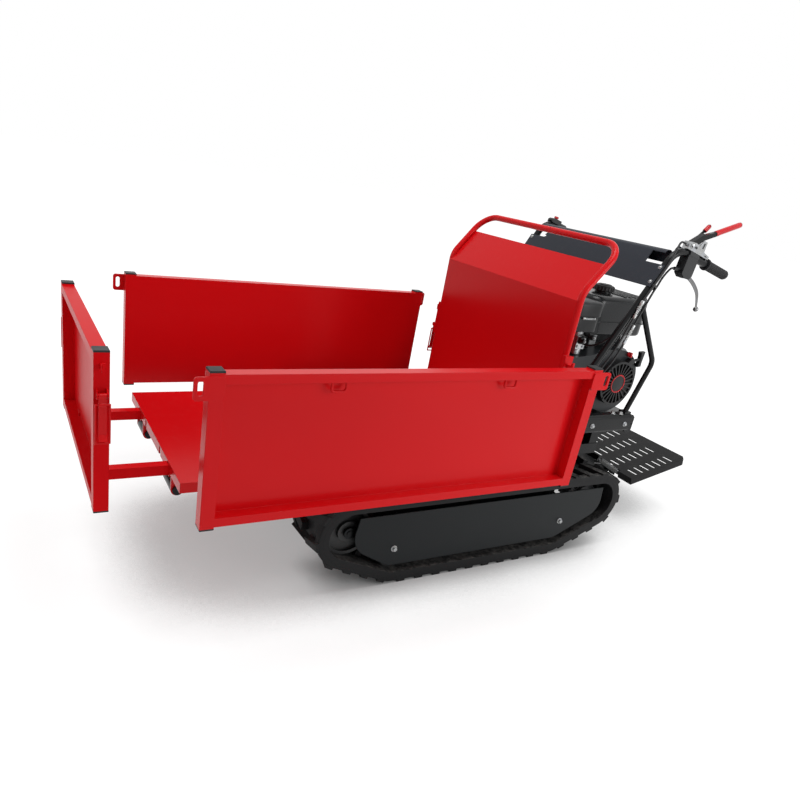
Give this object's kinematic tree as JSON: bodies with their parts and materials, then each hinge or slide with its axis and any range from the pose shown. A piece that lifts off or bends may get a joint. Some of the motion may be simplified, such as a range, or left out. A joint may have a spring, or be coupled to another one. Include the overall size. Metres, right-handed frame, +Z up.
{
  "type": "tracked power carrier",
  "caption": "Walk-behind tracked carrier with a tipping load bed, pull-out side and front panels, rear engine, handlebar levers and a folding footplate.",
  "frame": {"origin": "on the ground under the middle of the bounding box", "axes": "+X forward along the direction of travel, +Y to the left of the machine, +Z up"},
  "size_m": [2.1148, 0.906, 1.0731],
  "materials": {
    "red_paint": "gloss powder coat",
    "black_paint": "satin powder coat",
    "cover_paint": "satin powder coat",
    "plate_black": "textured powder coat",
    "panel_grey": "satin powder coat",
    "zinc": "bright zinc plate",
    "bright_chrome": "polished",
    "track_rubber": "matt, dusty on the lug tops",
    "grip_rubber": "matt ribbed",
    "black_plastic": "fine grain",
    "cap_plastic": "fine grain",
    "cable_black": "smooth",
    "red_plastic": "gloss",
    "engine_alloy": "cast, unpolished",
    "bright_alloy": "cast, unpolished",
    "engine_black": "semi gloss enamel",
    "tank_black": "gloss enamel",
    "heat_black": "matt heat paint",
    "gear_iron": "painted casting",
    "wheel_black": "painted casting"
  },
  "bodies": {
    "chassis": {"chassis_frame": "black_paint", "left_track_belt": "track_rubber", "right_track_belt": "track_rubber", "left_track_cover": "cover_paint", "right_track_cover": "cover_paint", "track_tensioners": "zinc", "flange_bolts": "zinc", "gearbox": "gear_iron", "belt_guard": "black_paint", "tip_hinge_pins": "zinc", "engine_deck": "black_paint", "engine_block": "engine_alloy", "engine_shroud": "engine_black", "recoil_cover": "black_plastic", "fuel_tank": "tank_black", "air_cleaner": "black_plastic", "carburettor": "bright_alloy", "muffler": "heat_black", "handle_tubes": "black_paint", "handle_grips": "grip_rubber", "cross_panel": "panel_grey", "lever_brackets": "zinc", "steering_lever_housings": "black_plastic", "control_cables": "cable_black", "footplate_spring": "zinc"},
    "bed": {"load_bed": "red_paint", "headboard": "red_paint"},
    "left_side": {"left_side_panel": "red_paint", "left_panel_caps": "cap_plastic"},
    "right_side": {"right_side_panel": "red_paint", "right_panel_caps": "cap_plastic"},
    "front_gate": {"front_panel": "red_paint", "front_panel_caps": "cap_plastic"},
    "starter_grip": {"starter_grip": "black_plastic"},
    "fuel_cap": {"fuel_cap": "black_plastic"},
    "engine_switch": {"engine_switch": "red_plastic"},
    "left_drive_lever": {"left_drive_lever": "black_paint"},
    "stop_button": {"stop_button": "red_plastic"},
    "left_steering_lever": {"left_steering_lever": "bright_chrome"},
    "right_steering_lever": {"right_steering_lever": "bright_chrome"},
    "throttle_lever": {"throttle_lever": "black_paint"},
    "footplate": {"footplate": "plate_black"},
    "left_sprocket": {"left_sprocket": "gear_iron"},
    "left_idler": {"left_idler": "wheel_black"},
    "left_roller_front": {"left_roller_front": "wheel_black"},
    "left_roller_middle": {"left_roller_middle": "wheel_black"},
    "left_roller_rear": {"left_roller_rear": "wheel_black"},
    "right_sprocket": {"right_sprocket": "gear_iron"},
    "right_idler": {"right_idler": "wheel_black"},
    "right_roller_front": {"right_roller_front": "wheel_black"},
    "right_roller_middle": {"right_roller_middle": "wheel_black"},
    "right_roller_rear": {"right_roller_rear": "wheel_black"},
    "front_left_latch_lever": {"front_left_latch_lever": "red_paint"},
    "front_left_latch_bail": {"front_left_latch_bail": "red_paint"},
    "front_right_latch_lever": {"front_right_latch_lever": "red_paint"},
    "front_right_latch_bail": {"front_right_latch_bail": "red_paint"},
    "rear_left_latch_lever": {"rear_left_latch_lever": "red_paint"},
    "rear_left_latch_bail": {"rear_left_latch_bail": "red_paint"},
    "rear_right_latch_lever": {"rear_right_latch_lever": "red_paint"},
    "rear_right_latch_bail": {"rear_right_latch_bail": "red_paint"}
  },
  "joints": [
    {"name": "bed_tip", "type": "hinge", "parent": "chassis", "child": "bed", "pos_m": [0.86, 0, 0.298], "axis": [0, 1, 0], "range_deg": [0, 75]},
    {"name": "front_gate_slide", "type": "slide", "parent": "bed", "child": "front_gate", "axis": [1, 0, 0], "range_m": [-0.149, 0]},
    {"name": "left_side_slide", "type": "slide", "parent": "bed", "child": "left_side", "axis": [0, 1, 0], "range_m": [-0.131, 0]},
    {"name": "right_side_slide", "type": "slide", "parent": "bed", "child": "right_side", "axis": [0, -1, 0], "range_m": [-0.131, 0]},
    {"name": "front_left_latch_lever_pivot", "type": "hinge", "parent": "front_gate", "child": "front_left_latch_lever", "pos_m": [1.042, 0.319, 0.58], "axis": [1, 0, 0], "range_deg": [0, 100]},
    {"name": "front_left_latch_bail_pivot", "type": "hinge", "parent": "front_left_latch_lever", "child": "front_left_latch_bail", "pos_m": [1.042, 0.3214, 0.563], "axis": [1, 0, 0], "range_deg": [0, 80]},
    {"name": "front_right_latch_lever_pivot", "type": "hinge", "parent": "front_gate", "child": "front_right_latch_lever", "pos_m": [1.042, -0.319, 0.58], "axis": [-1, 0, 0], "range_deg": [0, 100]},
    {"name": "front_right_latch_bail_pivot", "type": "hinge", "parent": "front_right_latch_lever", "child": "front_right_latch_bail", "pos_m": [1.042, -0.3214, 0.563], "axis": [-1, 0, 0], "range_deg": [0, 80]},
    {"name": "rear_left_latch_lever_pivot", "type": "hinge", "parent": "bed", "child": "rear_left_latch_lever", "pos_m": [-0.169, 0.326, 0.58], "axis": [1, 0, 0], "range_deg": [0, 100]},
    {"name": "rear_left_latch_bail_pivot", "type": "hinge", "parent": "rear_left_latch_lever", "child": "rear_left_latch_bail", "pos_m": [-0.169, 0.3284, 0.563], "axis": [1, 0, 0], "range_deg": [0, 80]},
    {"name": "rear_right_latch_lever_pivot", "type": "hinge", "parent": "bed", "child": "rear_right_latch_lever", "pos_m": [-0.169, -0.326, 0.58], "axis": [-1, 0, 0], "range_deg": [0, 100]},
    {"name": "rear_right_latch_bail_pivot", "type": "hinge", "parent": "rear_right_latch_lever", "child": "rear_right_latch_bail", "pos_m": [-0.169, -0.3284, 0.563], "axis": [-1, 0, 0], "range_deg": [0, 80]},
    {"name": "left_sprocket_turn", "type": "hinge", "parent": "chassis", "child": "left_sprocket", "pos_m": [-0.474, 0.225, 0.17], "axis": [0, 1, 0], "continuous": true},
    {"name": "left_idler_turn", "type": "hinge", "parent": "chassis", "child": "left_idler", "pos_m": [0.427, 0.225, 0.17], "axis": [0, 1, 0], "continuous": true},
    {"name": "left_roller_front_turn", "type": "hinge", "parent": "chassis", "child": "left_roller_front", "pos_m": [0.28, 0.225, 0.065], "axis": [0, 1, 0], "continuous": true},
    {"name": "left_roller_middle_turn", "type": "hinge", "parent": "chassis", "child": "left_roller_middle", "pos_m": [-0.02, 0.225, 0.065], "axis": [0, 1, 0], "continuous": true},
    {"name": "left_roller_rear_turn", "type": "hinge", "parent": "chassis", "child": "left_roller_rear", "pos_m": [-0.32, 0.225, 0.065], "axis": [0, 1, 0], "continuous": true},
    {"name": "right_sprocket_turn", "type": "hinge", "parent": "chassis", "child": "right_sprocket", "pos_m": [-0.474, -0.225, 0.17], "axis": [0, 1, 0], "continuous": true},
    {"name": "right_idler_turn", "type": "hinge", "parent": "chassis", "child": "right_idler", "pos_m": [0.427, -0.225, 0.17], "axis": [0, 1, 0], "continuous": true},
    {"name": "right_roller_front_turn", "type": "hinge", "parent": "chassis", "child": "right_roller_front", "pos_m": [0.28, -0.225, 0.065], "axis": [0, 1, 0], "continuous": true},
    {"name": "right_roller_middle_turn", "type": "hinge", "parent": "chassis", "child": "right_roller_middle", "pos_m": [-0.02, -0.225, 0.065], "axis": [0, 1, 0], "continuous": true},
    {"name": "right_roller_rear_turn", "type": "hinge", "parent": "chassis", "child": "right_roller_rear", "pos_m": [-0.32, -0.225, 0.065], "axis": [0, 1, 0], "continuous": true},
    {"name": "starter_pull", "type": "slide", "parent": "chassis", "child": "starter_grip", "axis": [-0.9823, 0, 0.1871], "range_m": [0, 0.45], "stiffness_N_per_m": 30, "springref_m": -0.2},
    {"name": "fuel_cap_turn", "type": "hinge", "parent": "chassis", "child": "fuel_cap", "pos_m": [-0.515, 0.06, 0.806], "axis": [0, 0, 1], "range_deg": [0, 90]},
    {"name": "engine_switch_turn", "type": "hinge", "parent": "chassis", "child": "engine_switch", "pos_m": [-0.594, 0.17, 0.626], "axis": [0, 1, 0], "range_deg": [0, 60]},
    {"name": "drive_lever_squeeze", "type": "hinge", "parent": "chassis", "child": "left_drive_lever", "pos_m": [-0.5653, 0.275, 0.9899], "axis": [0, -1, 0], "range_deg": [0, 26], "stiffness_Nm_per_rad": 3, "springref_deg": -34.38},
    {"name": "left_steering_squeeze", "type": "hinge", "parent": "chassis", "child": "left_steering_lever", "pos_m": [-0.5894, 0.275, 0.9051], "axis": [0, 1, 0], "range_deg": [0, 28], "stiffness_Nm_per_rad": 0.8, "springref_deg": -17.19},
    {"name": "right_steering_squeeze", "type": "hinge", "parent": "chassis", "child": "right_steering_lever", "pos_m": [-0.5894, -0.275, 0.9051], "axis": [0, 1, 0], "range_deg": [0, 28], "stiffness_Nm_per_rad": 0.8, "springref_deg": -17.19},
    {"name": "throttle_turn", "type": "hinge", "parent": "chassis", "child": "throttle_lever", "pos_m": [-0.6, 0.2495, 0.985], "axis": [0, 1, 0], "range_deg": [0, 55]},
    {"name": "stop_button_press", "type": "slide", "parent": "chassis", "child": "stop_button", "axis": [0.2312, 0, -0.9729], "range_m": [0, 0.0025], "stiffness_N_per_m": 800, "springref_m": -0.002},
    {"name": "footplate_fold", "type": "hinge", "parent": "chassis", "child": "footplate", "pos_m": [-0.768, 0, 0.162], "axis": [0, 1, 0], "range_deg": [-12.5, 75], "stiffness_Nm_per_rad": 12, "springref_deg": 21.77, "deforming": ["footplate_spring"]}
  ],
  "couplings": [
    {"joint": "left_idler_turn", "follows": "left_sprocket_turn", "ratio": 1},
    {"joint": "left_roller_front_turn", "follows": "left_sprocket_turn", "ratio": 2.3176},
    {"joint": "left_roller_middle_turn", "follows": "left_sprocket_turn", "ratio": 2.3176},
    {"joint": "left_roller_rear_turn", "follows": "left_sprocket_turn", "ratio": 2.3176},
    {"joint": "right_idler_turn", "follows": "right_sprocket_turn", "ratio": 1},
    {"joint": "right_roller_front_turn", "follows": "right_sprocket_turn", "ratio": 2.3176},
    {"joint": "right_roller_middle_turn", "follows": "right_sprocket_turn", "ratio": 2.3176},
    {"joint": "right_roller_rear_turn", "follows": "right_sprocket_turn", "ratio": 2.3176}
  ]
}
